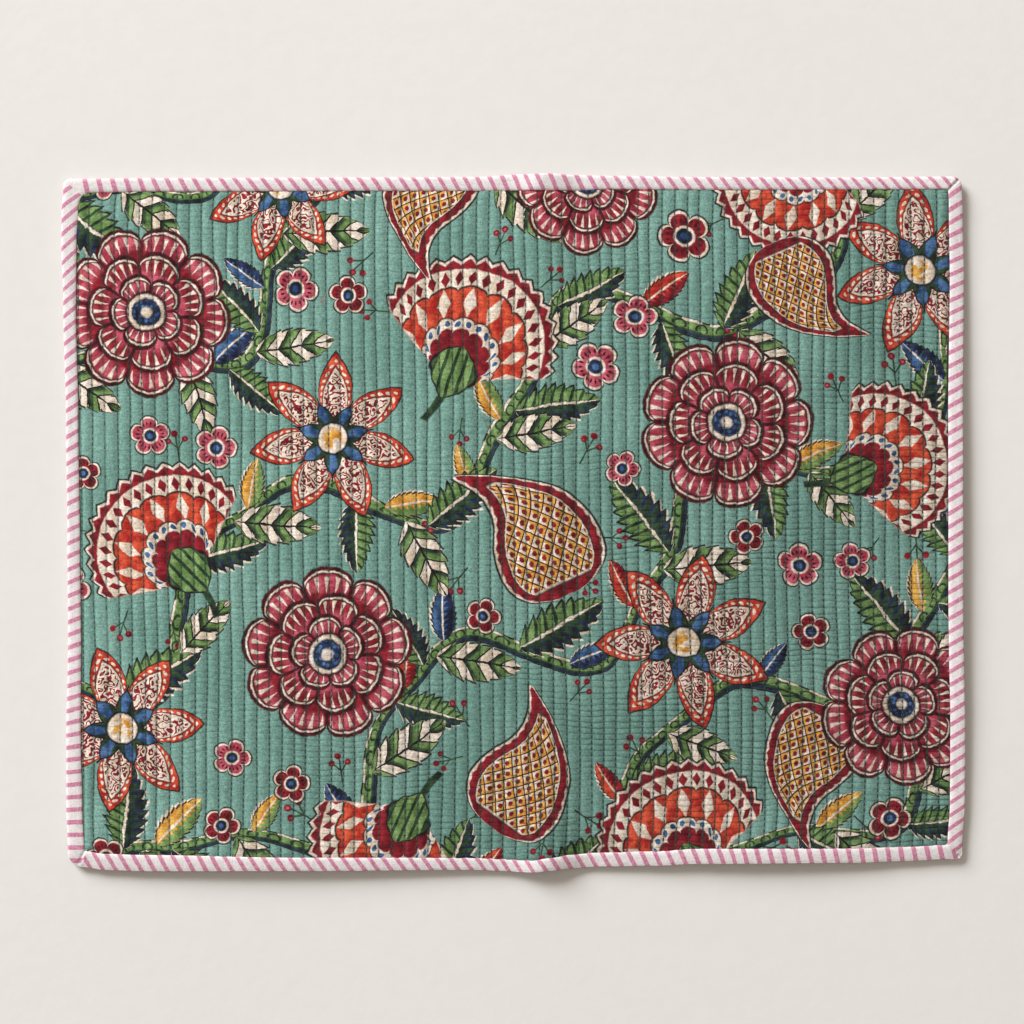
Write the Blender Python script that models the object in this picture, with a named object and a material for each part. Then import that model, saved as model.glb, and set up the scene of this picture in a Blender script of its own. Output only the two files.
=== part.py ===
"""Quilted placemat: one quilted panel and the bias binding that wraps its rim, lying on a table.

Metres, +Z up, +X along the mat's long side. The origin is on the table under the middle of the mat.
Both pieces are laid out on a true rectangle, then moved together by settle(), which draws in the
uneven edges and lifts the old fold and the curling edges off the table.
"""

import math
from collections import namedtuple

import bmesh
import bpy
from mathutils import Vector

# Driving dimensions
HALF_WIDTH = 0.2280
HALF_DEPTH = 0.1762
PANEL_THICK = 0.0031
RIM_BOTTOM = 0.0012
RIM_TOP = 0.0026
RIM_INSET = 0.0021
RIM_CORNER_CUT = 0.0012
PRESSED_WIDTH = 0.0097
LOFT_WIDTH = 0.0150
BINDING_HEIGHT = 0.0036
INNER_CORNER_RADIUS = 0.0012
CORNER_STEPS = 4
PRESSED_LINES = 2  # mesh lines in from the rim on which the panel is pressed thin
SHARP_ANGLE = math.radians(50)

# Colours that tell the cloths apart
PRINTED_COLOUR = (0.16, 0.29, 0.23)
BINDING_COLOUR = (0.80, 0.66, 0.70)
CLOTH_ROUGHNESS = 0.85

# How the edge of each side wanders: along = place along the side, inset = how far the outer edge
# is drawn in from the true rectangle, band = width of the binding there. All in metres.
Edge = namedtuple("Edge", "along inset band")
BOTTOM_EDGE = (
    Edge(-0.220, 0.0024, 0.0084),
    Edge(-0.209, 0.0010, 0.0084),
    Edge(-0.190, 0.0005, 0.0084),
    Edge(-0.107, 0.0007, 0.0069),
    Edge(-0.026, 0.0011, 0.0063),
    Edge(0.0085, 0.0000, 0.0063),
    Edge(0.018, 0.0010, 0.0066),
    Edge(0.028, 0.0020, 0.0070),
    Edge(0.043, 0.0027, 0.0073),
    Edge(0.070, 0.0032, 0.0076),
    Edge(0.094, 0.0043, 0.0079),
    Edge(0.172, 0.0048, 0.0076),
    Edge(0.200, 0.0056, 0.0075),
    Edge(0.220, 0.0065, 0.0075),
)
TOP_EDGE = (
    Edge(-0.220, 0.0026, 0.0072),
    Edge(-0.180, 0.0022, 0.0069),
    Edge(-0.060, 0.0019, 0.0069),
    Edge(-0.018, 0.0016, 0.0072),
    Edge(0.004, 0.0004, 0.0082),
    Edge(0.018, 0.0000, 0.0086),
    Edge(0.030, 0.0006, 0.0080),
    Edge(0.050, 0.0011, 0.0069),
    Edge(0.095, 0.0017, 0.0066),
    Edge(0.170, 0.0019, 0.0063),
    Edge(0.220, 0.0015, 0.0066),
)
LEFT_EDGE = (
    Edge(-0.168, 0.0034, 0.0084),
    Edge(-0.146, 0.0026, 0.0082),
    Edge(-0.112, 0.0025, 0.0075),
    Edge(-0.059, 0.0034, 0.0068),
    Edge(-0.009, 0.0031, 0.0065),
    Edge(0.052, 0.0024, 0.0064),
    Edge(0.111, 0.0010, 0.0066),
    Edge(0.145, 0.0000, 0.0078),
    Edge(0.160, 0.0002, 0.0084),
    Edge(0.170, 0.0009, 0.0085),
)
RIGHT_EDGE = (
    Edge(-0.168, 0.0013, 0.0077),
    Edge(-0.147, 0.0001, 0.0077),
    Edge(-0.120, 0.0000, 0.0077),
    Edge(-0.039, 0.0012, 0.0076),
    Edge(0.052, 0.0012, 0.0076),
    Edge(0.127, 0.0006, 0.0072),
    Edge(0.162, 0.0013, 0.0070),
    Edge(0.172, 0.0018, 0.0070),
)

# Where the mat stands off the table: a soft hump at x, y that fades to nothing at its reach.
Hump = namedtuple("Hump", "x y reach_x reach_y height")
HUMPS = (
    Hump(0.0160, -0.176, 0.022, 0.090, 0.0042),  # middle fold, near edge
    Hump(0.0165, 0.176, 0.020, 0.085, 0.0022),  # middle fold, far edge
    Hump(0.0160, 0.000, 0.018, 0.150, 0.0012),  # middle fold, across the mat
    Hump(-0.1200, -0.178, 0.150, 0.040, 0.0026),  # near edge, left half
    Hump(0.1300, -0.178, 0.110, 0.040, 0.0032),  # near edge, right half
    Hump(0.2300, -0.020, 0.034, 0.220, 0.0029),  # right edge
    Hump(0.2320, 0.180, 0.050, 0.050, 0.0012),  # far right corner
)

# Radius of the binding's outer corners, counter-clockwise from the near right corner.
CORNER_RADII = (0.0034, 0.0050, 0.0036, 0.0056)

# The lines of the panel's mesh, finer across the middle fold: runs of equal steps.
Run = namedtuple("Run", "start end steps")
COLUMN_RUNS = (Run(-1.0, -0.010, 16), Run(-0.010, 0.042, 8), Run(0.042, 1.0, 14))
ROW_RUNS = (Run(-1.0, -0.100, 7), Run(-0.100, 0.090, 10), Run(0.090, 1.0, 7))

# The binding's section: across = share of its width in from the outer edge, up = share of its height.
Corner = namedtuple("Corner", "across up")
BINDING_SECTION = (
    Corner(1.00, 0.91),
    Corner(0.62, 1.00),
    Corner(0.20, 0.94),
    Corner(0.02, 0.68),
    Corner(0.02, 0.26),
    Corner(0.18, 0.00),
    Corner(1.00, 0.00),
    Corner(1.00, 0.23),
    Corner(0.20, 0.23),
    Corner(0.20, 0.745),
    Corner(1.00, 0.745),
)


def clear_scene():
    for obj in list(bpy.data.objects):
        bpy.data.objects.remove(obj, do_unlink=True)


def eased(table, along, column):
    """Reads a column of an edge table, easing from row to row."""
    if along <= table[0].along:
        return getattr(table[0], column)
    for first, second in zip(table, table[1:]):
        if along <= second.along:
            share = (along - first.along) / (second.along - first.along)
            share = 0.5 - 0.5 * math.cos(math.pi * share)
            low, high = getattr(first, column), getattr(second, column)
            return low + (high - low) * share
    return getattr(table[-1], column)


def fade(distance, reach):
    """1 at the middle of a hump, 0 from its reach outwards."""
    share = min(abs(distance) / reach, 1.0)
    return 0.5 + 0.5 * math.cos(math.pi * share)


def lift(x, y):
    return sum(h.height * fade(x - h.x, h.reach_x) * fade(y - h.y, h.reach_y) for h in HUMPS)


def settle(x, y, z):
    """Moves a point of the true rectangle to where the cloth lies."""
    right_share = (x + HALF_WIDTH) / (2 * HALF_WIDTH)
    far_share = (y + HALF_DEPTH) / (2 * HALF_DEPTH)
    from_left = eased(LEFT_EDGE, y, "inset") * (1 - right_share)
    from_right = eased(RIGHT_EDGE, y, "inset") * right_share
    from_near = eased(BOTTOM_EDGE, x, "inset") * (1 - far_share)
    from_far = eased(TOP_EDGE, x, "inset") * far_share
    return Vector((x + from_left - from_right, y + from_near - from_far, z + lift(x, y)))


def grid_lines(half, runs):
    """Line positions from rim to rim: the rim, the pressed strip, the start of the loft, the runs."""
    rim, pressed, loft = half - RIM_INSET, half - PRESSED_WIDTH, half - LOFT_WIDTH
    lines = [-rim, -pressed]
    for run in runs:
        start, end = max(run.start, -loft), min(run.end, loft)
        lines += [start + (end - start) * k / run.steps for k in range(run.steps)]
    return lines + [loft, pressed, rim]


def new_object(name, bm, material):
    mesh = bpy.data.meshes.new(name)
    bm.to_mesh(mesh)
    bm.free()
    mesh.materials.append(material)
    mesh.shade_smooth()
    mesh.set_sharp_from_angle(angle=SHARP_ANGLE)
    obj = bpy.data.objects.new(name, mesh)
    bpy.context.scene.collection.objects.link(obj)
    return obj


def cloth_material(name, colour):
    material = bpy.data.materials.new(name)
    material.use_nodes = True
    shader = material.node_tree.nodes["Principled BSDF"]
    shader.inputs["Base Color"].default_value = (*colour, 1.0)
    shader.inputs["Roughness"].default_value = CLOTH_ROUGHNESS
    shader.inputs["Metallic"].default_value = 0.0
    return material


def quilted_panel(columns, rows):
    """A grid extruded to two layers: full loft inside, pressed thin where the binding grips it."""
    bm = bmesh.new()
    last_column, last_row = len(columns) - 1, len(rows) - 1
    bmesh.ops.create_grid(bm, x_segments=last_column, y_segments=last_row, size=1.0)
    lower = bm.faces[:]
    extruded = bmesh.ops.extrude_face_region(bm, geom=lower, use_keep_orig=True)
    upper = {item for item in extruded["geom"] if isinstance(item, bmesh.types.BMVert)}
    for vert in bm.verts:
        column = round((vert.co.x + 1) / 2 * last_column)
        row = round((vert.co.y + 1) / 2 * last_row)
        x, y = columns[column], rows[row]
        if column in (0, last_column) and row in (0, last_row):
            x -= math.copysign(RIM_CORNER_CUT, x)
            y -= math.copysign(RIM_CORNER_CUT, y)
        lines_in = min(column, last_column - column, row, last_row - row)
        pressed = lines_in < PRESSED_LINES
        if vert in upper:
            z = RIM_TOP if pressed else PANEL_THICK
        else:
            z = RIM_BOTTOM if pressed else 0.0
        vert.co = settle(x, y, z)
    bmesh.ops.recalc_face_normals(bm, faces=bm.faces)
    return new_object("quilted_panel", bm, cloth_material("printed_cotton", PRINTED_COLOUR))


def corner_stations(right, far, radius):
    """Outer and inner points round one corner, turning counter-clockwise."""
    side = RIGHT_EDGE if right > 0 else LEFT_EDGE
    end = TOP_EDGE if far > 0 else BOTTOM_EDGE
    side_band = eased(side, far * HALF_DEPTH, "band")
    end_band = eased(end, right * HALF_WIDTH, "band")
    outer_x, outer_y = HALF_WIDTH - radius, HALF_DEPTH - radius
    inner_x = HALF_WIDTH - side_band - INNER_CORNER_RADIUS
    inner_y = HALF_DEPTH - end_band - INNER_CORNER_RADIUS
    start = math.atan2(far, right) - math.pi / 4
    stations = []
    for step in range(CORNER_STEPS + 1):
        turn = start + math.pi / 2 * step / CORNER_STEPS
        reach = Vector((math.cos(turn), math.sin(turn)))
        outer = Vector((right * outer_x, far * outer_y)) + reach * radius
        inner = Vector((right * inner_x, far * inner_y)) + reach * INNER_CORNER_RADIUS
        stations.append((outer, inner))
    return stations


def band_stations(columns, rows):
    """Outer and inner points of the binding all the way round, on the panel's own grid lines."""
    inner_columns, inner_rows = columns[1:-1], rows[1:-1]
    near = [
        (Vector((x, -HALF_DEPTH)), Vector((x, -HALF_DEPTH + eased(BOTTOM_EDGE, x, "band"))))
        for x in inner_columns
    ]
    right = [
        (Vector((HALF_WIDTH, y)), Vector((HALF_WIDTH - eased(RIGHT_EDGE, y, "band"), y)))
        for y in inner_rows
    ]
    far = [
        (Vector((x, HALF_DEPTH)), Vector((x, HALF_DEPTH - eased(TOP_EDGE, x, "band"))))
        for x in reversed(inner_columns)
    ]
    left = [
        (Vector((-HALF_WIDTH, y)), Vector((-HALF_WIDTH + eased(LEFT_EDGE, y, "band"), y)))
        for y in reversed(inner_rows)
    ]
    stations = []
    turns = ((1, -1), (1, 1), (-1, 1), (-1, -1))
    for side, (corner_x, corner_y), radius in zip((near, right, far, left), turns, CORNER_RADII):
        stations += side + corner_stations(corner_x, corner_y, radius)
    return stations


def place_section(verts, station):
    outer, inner = station
    for vert, corner in zip(verts, BINDING_SECTION):
        flat = outer.lerp(inner, corner.across)
        vert.co = settle(flat.x, flat.y, corner.up * BINDING_HEIGHT)


def binding(columns, rows):
    """The U-shaped section extruded from station to station, then bridged back to its start."""
    bm = bmesh.new()
    stations = band_stations(columns, rows)
    verts = [bm.verts.new() for _ in BINDING_SECTION]
    edges = [bm.edges.new((a, b)) for a, b in zip(verts, verts[1:] + verts[:1])]
    place_section(verts, stations[0])
    first_edges = edges
    for station in stations[1:]:
        grown = bmesh.ops.extrude_edge_only(bm, edges=edges)["geom"]
        edges = [item for item in grown if isinstance(item, bmesh.types.BMEdge)]
        moved = {vert for edge in edges for vert in edge.verts}
        partner = {}
        for vert in verts:
            link = next(e for e in vert.link_edges if e.other_vert(vert) in moved)
            partner[vert] = link.other_vert(vert)
        verts = [partner[vert] for vert in verts]
        place_section(verts, station)
    bmesh.ops.bridge_loops(bm, edges=first_edges + edges)
    bmesh.ops.recalc_face_normals(bm, faces=bm.faces)
    return new_object("binding", bm, cloth_material("binding_cotton", BINDING_COLOUR))


clear_scene()
panel_columns = grid_lines(HALF_WIDTH, COLUMN_RUNS)
panel_rows = grid_lines(HALF_DEPTH, ROW_RUNS)
quilted_panel(panel_columns, panel_rows)
binding(panel_columns, panel_rows)
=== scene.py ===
import math
import random

import bmesh
import bpy
import numpy as np
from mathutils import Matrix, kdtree


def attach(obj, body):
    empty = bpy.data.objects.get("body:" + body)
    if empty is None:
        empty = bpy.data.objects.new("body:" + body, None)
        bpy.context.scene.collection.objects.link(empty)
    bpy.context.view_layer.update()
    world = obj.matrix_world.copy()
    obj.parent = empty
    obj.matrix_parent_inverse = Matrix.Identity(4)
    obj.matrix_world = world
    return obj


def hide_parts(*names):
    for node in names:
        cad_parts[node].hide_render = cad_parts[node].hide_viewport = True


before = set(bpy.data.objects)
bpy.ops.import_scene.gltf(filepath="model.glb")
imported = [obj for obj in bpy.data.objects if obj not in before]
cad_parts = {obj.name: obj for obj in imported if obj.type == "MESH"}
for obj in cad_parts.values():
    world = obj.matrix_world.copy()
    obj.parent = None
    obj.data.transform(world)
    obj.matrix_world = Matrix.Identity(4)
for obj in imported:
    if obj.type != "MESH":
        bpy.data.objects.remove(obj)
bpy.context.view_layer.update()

mm = 0.001

# How the mat lies, in millimetres: the edges and humps that its solids have.
mat = {
    "halfWidth": 228.0,
    "halfDepth": 176.2,
    # each side: place along it, how far the edge draws in, width of the binding
    "near": [
        (-220, 2.4, 8.4), (-209, 1.0, 8.4), (-190, 0.5, 8.4), (-107, 0.7, 6.9), (-26, 1.1, 6.3),
        (8.5, 0.0, 6.3), (18, 1.0, 6.6), (28, 2.0, 7.0), (43, 2.7, 7.3), (70, 3.2, 7.6),
        (94, 4.3, 7.9), (172, 4.8, 7.6), (200, 5.6, 7.5), (220, 6.5, 7.5),
    ],
    "far": [
        (-220, 2.6, 7.2), (-180, 2.2, 6.9), (-60, 1.9, 6.9), (-18, 1.6, 7.2), (4, 0.4, 8.2),
        (18, 0.0, 8.6), (30, 0.6, 8.0), (50, 1.1, 6.9), (95, 1.7, 6.6), (170, 1.9, 6.3),
        (220, 1.5, 6.6),
    ],
    "left": [
        (-168, 3.4, 8.4), (-146, 2.6, 8.2), (-112, 2.5, 7.5), (-59, 3.4, 6.8), (-9, 3.1, 6.5),
        (52, 2.4, 6.4), (111, 1.0, 6.6), (145, 0.0, 7.8), (160, 0.2, 8.4), (170, 0.9, 8.5),
    ],
    "right": [
        (-168, 1.3, 7.7), (-147, 0.1, 7.7), (-120, 0.0, 7.7), (-39, 1.2, 7.6), (52, 1.2, 7.6),
        (127, 0.6, 7.2), (162, 1.3, 7.0), (172, 1.8, 7.0),
    ],
    # x, y, reach along x, reach along y, height off the table
    "humps": [
        (16.0, -176.0, 22.0, 90.0, 4.2),  # middle fold, near edge
        (16.5, 176.0, 20.0, 85.0, 2.2),  # middle fold, far edge
        (16.0, 0.0, 18.0, 150.0, 1.2),  # middle fold, across the mat
        (-120.0, -178.0, 150.0, 40.0, 2.6),  # near edge, left half
        (130.0, -178.0, 110.0, 40.0, 3.2),  # near edge, right half
        (230.0, -20.0, 34.0, 220.0, 2.9),  # right edge
        (232.0, 180.0, 50.0, 50.0, 1.2),  # far right corner
    ],
}


def eased(table, along, column):
    stops = np.array([row[0] for row in table], float)
    values = np.array([row[column] for row in table], float)
    along = np.clip(along, stops[0], stops[-1])
    before = np.clip(np.searchsorted(stops, along) - 1, 0, len(stops) - 2)
    share = (along - stops[before]) / (stops[before + 1] - stops[before])
    share = 0.5 - 0.5 * np.cos(np.pi * share)
    return values[before] + (values[before + 1] - values[before]) * share


def fade(distance, reach):
    return 0.5 + 0.5 * np.cos(np.pi * np.minimum(np.abs(distance) / reach, 1.0))


def smoothStep(value, low, high):
    share = np.clip((value - low) / (high - low), 0.0, 1.0)
    return share * share * (3 - 2 * share)


def liftAt(x, y):
    return sum(height * fade(x - cx, rx) * fade(y - cy, ry) for cx, cy, rx, ry, height in mat["humps"])


def settle(x, y, z):  # from the true rectangle to where the cloth lies
    rightShare = (x + mat["halfWidth"]) / (2 * mat["halfWidth"])
    farShare = (y + mat["halfDepth"]) / (2 * mat["halfDepth"])
    alongX = eased(mat["left"], y, 1) * (1 - rightShare) - eased(mat["right"], y, 1) * rightShare
    alongY = eased(mat["near"], x, 1) * (1 - farShare) - eased(mat["far"], x, 1) * farShare
    return np.stack([x + alongX, y + alongY, z + liftAt(x, y)], axis=-1)


def insideBinding(x, y):  # how far a point is inside the binding's inner edge
    return np.minimum.reduce([
        y + mat["halfDepth"] - eased(mat["near"], x, 2),
        mat["halfDepth"] - y - eased(mat["far"], x, 2),
        x + mat["halfWidth"] - eased(mat["left"], y, 2),
        mat["halfWidth"] - x - eased(mat["right"], y, 2),
    ])


def readCo(mesh):
    co = np.empty(len(mesh.vertices) * 3, np.float64)
    mesh.vertices.foreach_get("co", co)
    return co.reshape(-1, 3)


def writeCo(mesh, co):
    mesh.vertices.foreach_set("co", co.astype(np.float32).ravel())
    mesh.update()


def writeAttribute(mesh, name, kind, values):
    layer = mesh.attributes.new(name, kind, "POINT")
    layer.data.foreach_set("color" if kind == "FLOAT_COLOR" else "value", values.astype(np.float32).ravel())


def writeUv(mesh, name, values):
    layer = mesh.uv_layers.new(name=name)
    layer.data.foreach_set("uv", values.astype(np.float32).ravel())


def loopVerts(mesh):
    verts = np.empty(len(mesh.loops), int)
    mesh.loops.foreach_get("vertex_index", verts)
    return verts


def addPiece(name, mesh):
    piece = bpy.data.objects.new(name, mesh)
    bpy.context.scene.collection.objects.link(piece)
    return piece


def waves(values, rng, steps):  # a soft irregular wander: sum of sines at (wavelength, size)
    total = np.zeros_like(values, dtype=float)
    for length, size in steps:
        total += size * np.sin(2 * np.pi * values / length + rng.uniform(0, 2 * np.pi))
    return total


def feed(node, values):  # a signal is linked to its socket, a fixed value is set on it
    for name, value in values.items():
        if isinstance(value, Signal):
            node.id_data.links.new(value.socket, node.inputs[name])
        else:
            node.inputs[name].default_value = value


def addNode(tree, kind, settings=None, links=None, out=0):
    node = tree.nodes.new(kind)
    for name, value in (settings or {}).items():
        setattr(node, name, value)
    feed(node, links or {})
    return Signal(node.outputs[out])


def sumOf(operation, turned=False):  # the method behind a sign, with the signal first or second
    def method(self, other):
        return self.maths(operation, *((other, self) if turned else (self, other)))
    return method


inkEdge = 0.012  # softness of a printed edge, in shares of the motif


class Signal:  # a socket that takes part in sums
    def __init__(self, socket):
        self.socket = socket

    def make(self, kind, settings=None, links=None, out=0):
        return addNode(self.socket.id_data, kind, settings, links, out)

    def maths(self, operation, *values):
        return self.make("ShaderNodeMath", {"operation": operation}, dict(enumerate(values)))

    __add__, __radd__ = sumOf("ADD"), sumOf("ADD", True)
    __sub__, __rsub__ = sumOf("SUBTRACT"), sumOf("SUBTRACT", True)
    __mul__, __rmul__ = sumOf("MULTIPLY"), sumOf("MULTIPLY", True)
    __truediv__, __pow__, __gt__ = sumOf("DIVIDE"), sumOf("POWER"), sumOf("GREATER_THAN")
    least, most = sumOf("MINIMUM"), sumOf("MAXIMUM")

    def __abs__(self):
        return self.maths("ABSOLUTE", self)

    def fract(self):
        return self.maths("FRACT", self)

    def root(self):
        return self.maths("SQRT", self)

    def ramp(self, low, high, toLow=0.0, toHigh=1.0):  # soft step from low to high
        return self.make(
            "ShaderNodeMapRange",
            {"interpolation_type": "SMOOTHSTEP"},
            {"Value": self, "From Min": low, "From Max": high, "To Min": toLow, "To Max": toHigh},
        )

    def under(self, edge, soft=inkEdge):  # 1 below the edge, 0 above it
        return (self - edge).ramp(-soft, soft, 1.0, 0.0)

    def over(self, edge, soft=inkEdge):
        return (self - edge).ramp(-soft, soft)

    def parts(self):
        node = self.make("ShaderNodeSeparateXYZ", None, {0: self}).socket.node
        return [Signal(out) for out in node.outputs]


def mixColour(share, under, over, blend="MIX"):
    return share.make(
        "ShaderNodeMix",
        {"data_type": "RGBA", "blend_type": blend},
        {0: share, 6: under, 7: over},
        out=2,
    )


def ink(red, green, blue):  # screen colour 0..255 to the linear colour a shader takes
    def linear(part):
        part /= 255
        return part / 12.92 if part <= 0.04045 else ((part + 0.055) / 1.055) ** 2.4
    return (linear(red), linear(green), linear(blue), 1.0)


def noiseAt(place, scale, detail=2.0, stretch=(1.0, 1.0, 1.0), out=0):
    stretched = place.make("ShaderNodeMapping", None, {"Vector": place, "Scale": stretch})
    return place.make(
        "ShaderNodeTexNoise", None,
        {"Vector": stretched, "Scale": scale, "Detail": detail, "Roughness": 0.6}, out,
    )


def newMaterial(name):
    material = bpy.data.materials.new(name)
    material.use_nodes = True
    tree = material.node_tree
    tree.nodes.clear()
    output = tree.nodes.new("ShaderNodeOutputMaterial")
    shader = tree.nodes.new("ShaderNodeBsdfPrincipled")
    tree.links.new(shader.outputs[0], output.inputs[0])
    place = addNode(tree, "ShaderNodeTexCoord", out=3)
    return material, shader, place


# The quilting: parallel lines of machine stitching, sizes in millimetres.
quilting = {
    "firstLine": -220.4,
    "pitch": 6.3,
    "lines": 71,
    "jitter": 0.40,
    "rimInset": 2.1,
    "cornerRadius": 5.5,
    "valley": 2.55,
    "crest": 3.30,
    "rim": 2.50,
    "rowsOnFace": 230,
    "rowsOnBack": 115,
    "faceShares": (0.0, 0.2, 0.5, 0.8),
    "backShares": (0.0, 0.5),
    "faintLines": {2: 0.35, 41: 0.6},  # how deep these lines still pull the cloth in
    # soft wanders: (wavelength, size) of each wave
    "allLinesWander": [(310, 0.5), (170, 0.25)],
    "eachLineWanders": [(140, 0.22), (55, 0.12)],
    "lean": 0.35,
    "fullness": [(23, 0.10), (9.5, 0.06)],
    "wavesAcross": [(83, 0.08)],
    "wavesAlong": [(61, 0.06)],
    "backDip": 0.42,
    "backRim": 1.35,
    "seed": 7,
}


def lineWander(y):  # x of every stitch line at every y
    rng = np.random.default_rng(quilting["seed"])
    count = quilting["lines"]
    drift = waves(y, rng, quilting["allLinesWander"])
    table = np.empty((count, len(y)))
    for line in range(count):
        base = quilting["firstLine"] + line * quilting["pitch"] + rng.uniform(-1, 1) * quilting["jitter"]
        lean = rng.uniform(-1, 1) * quilting["lean"]
        table[line] = base + drift + lean * y / mat["halfDepth"] + waves(y, rng, quilting["eachLineWanders"])
    return table


def sheetLines(shares):  # (line before, share of the way to the next) for each column of a sheet
    columns = [(line, share) for line in range(quilting["lines"] - 1) for share in shares]
    return [(-1, 0.0)] + columns + [(quilting["lines"] - 1, 0.0), (quilting["lines"], 0.0)]


def sheetPlan(shares, rowCount):  # x and y on the true rectangle, and millimetres from the nearest line
    rimX = mat["halfWidth"] - quilting["rimInset"]
    rimY = mat["halfDepth"] - quilting["rimInset"]
    y = np.linspace(-rimY, rimY, rowCount + 1)
    lines = lineWander(y)
    x, fromLine, share = [], [], []
    for line, part in sheetLines(shares):
        if line == -1 or line == quilting["lines"]:
            x.append(np.full_like(y, -rimX if line == -1 else rimX))
            fromLine.append(np.full_like(y, 3.0))
            share.append(np.full_like(y, 0.5))
            continue
        after = lines[min(line + 1, quilting["lines"] - 1)]
        x.append(lines[line] * (1 - part) + after * part)
        fromLine.append(np.abs(after - lines[line]) * min(part, 1 - part))
        share.append(np.full_like(y, part))
    return np.array(x), np.tile(y, (len(x), 1)), np.array(fromLine), np.array(share)


def roundCorners(x, y):  # the square corner of a sheet drawn into a quarter disc
    radius = quilting["cornerRadius"]
    midX = mat["halfWidth"] - quilting["rimInset"] - radius
    midY = mat["halfDepth"] - quilting["rimInset"] - radius
    a = np.clip((np.abs(x) - midX) / radius, 0, 1)
    b = np.clip((np.abs(y) - midY) / radius, 0, 1)
    newX = np.sign(x) * (np.minimum(np.abs(x), midX) + radius * a * np.sqrt(1 - b * b / 2))
    newY = np.sign(y) * (np.minimum(np.abs(y), midY) + radius * b * np.sqrt(1 - a * a / 2))
    return newX, newY


def faceHeight(x, y, share, columnLines):  # the puffed channels of the printed face
    rng = np.random.default_rng(quilting["seed"] + 1)
    inside = smoothStep(insideBinding(x, y), -0.3, 0.7)
    fullness = 1 + waves(y + 37 * np.sin(x / quilting["pitch"]), rng, quilting["fullness"])
    loft = (quilting["crest"] - quilting["valley"]) * fullness
    puff = np.sin(np.pi * share) ** 0.5
    depth = np.array([quilting["faintLines"].get(line, 1.0) for line in columnLines])[:, None]
    low = quilting["valley"] + (1 - depth) * loft * 0.8
    body = low + (quilting["valley"] + loft - low) * puff
    body = body + waves(x, rng, quilting["wavesAcross"]) + waves(y, rng, quilting["wavesAlong"])
    return quilting["rim"] + (body - quilting["rim"]) * inside


def backHeight(x, y, share):
    inside = smoothStep(insideBinding(x, y), 0.0, 4.5)
    body = quilting["backDip"] * (1 - np.sin(np.pi * share))
    return quilting["backRim"] + (body - quilting["backRim"]) * inside


def quiltedPanelMesh():
    shares, backShares = quilting["faceShares"], quilting["backShares"]
    faceColumns, backColumns = sheetLines(shares), sheetLines(backShares)
    bm = bmesh.new()
    sheets = []
    for columns, rows, level in (
        (faceColumns, quilting["rowsOnFace"], 1.0),
        (backColumns, quilting["rowsOnBack"], -1.0),
    ):
        made = bmesh.ops.create_grid(bm, x_segments=len(columns) - 1, y_segments=rows, size=1.0)
        bmesh.ops.translate(bm, verts=made["verts"], vec=(0, 0, level))
        sheets.append(made["verts"])
    back = {face for vert in sheets[1] for face in vert.link_faces}
    bmesh.ops.reverse_faces(bm, faces=list(back))
    rims = [edge for edge in bm.edges if edge.is_boundary]
    bridge = bmesh.ops.bridge_loops(bm, edges=rims)
    for face in bm.faces:
        face.material_index = 1 if face in back else 0
        face.smooth = True
    for face in bridge["faces"]:
        face.material_index = 1
    bmesh.ops.recalc_face_normals(bm, faces=bm.faces)
    mesh = bpy.data.meshes.new("quiltedPanel")
    bm.to_mesh(mesh)
    bm.free()
    return mesh


def shapePanel(mesh):
    flat = readCo(mesh)
    place = np.empty_like(flat)
    fromLine = np.zeros(len(flat))
    plan = np.zeros((len(flat), 2))
    for level, shares, rows in (
        (1.0, quilting["faceShares"], quilting["rowsOnFace"]),
        (-1.0, quilting["backShares"], quilting["rowsOnBack"]),
    ):
        x, y, near, share = sheetPlan(shares, rows)
        columnLines = [line for line, _ in sheetLines(shares)]
        z = faceHeight(x, y, share, columnLines) if level > 0 else backHeight(x, y, share)
        x, y = roundCorners(x, y)
        mine = flat[:, 2] * level > 0
        column = np.rint((flat[mine, 0] + 1) / 2 * (len(x) - 1)).astype(int)
        row = np.rint((flat[mine, 1] + 1) / 2 * rows).astype(int)
        place[mine] = settle(x, y, z)[column, row]
        fromLine[mine] = near[column, row]
        plan[mine] = np.stack([x, y], axis=-1)[column, row]
    writeCo(mesh, place * mm)
    writeAttribute(mesh, "fromLine", "FLOAT", fromLine)
    unwrapPanel(mesh, plan, flat[:, 2] > 0)
    return plan, flat[:, 2] > 0


def unwrapPanel(mesh, plan, onFace):  # the face above, the back squeezed below it, the rim in between
    share = 0.5 + 0.49 * plan / (mat["halfWidth"], mat["halfDepth"])
    verts = loopVerts(mesh)
    counts = np.empty(len(mesh.polygons), int)
    mesh.polygons.foreach_get("loop_total", counts)
    starts = np.concatenate([[0], np.cumsum(counts)[:-1]])
    above = np.add.reduceat(onFace[verts].astype(int), starts)
    rim = np.repeat((above > 0) & (above < counts), counts)
    up = np.where(onFace[verts], 0.22 + 0.78 * share[verts, 1], 0.20 * share[verts, 1])
    up = np.where(rim, np.where(onFace[verts], 0.214, 0.206), up)
    writeUv(mesh, "OFBake", np.stack([share[verts, 0], up], axis=-1))


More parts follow.
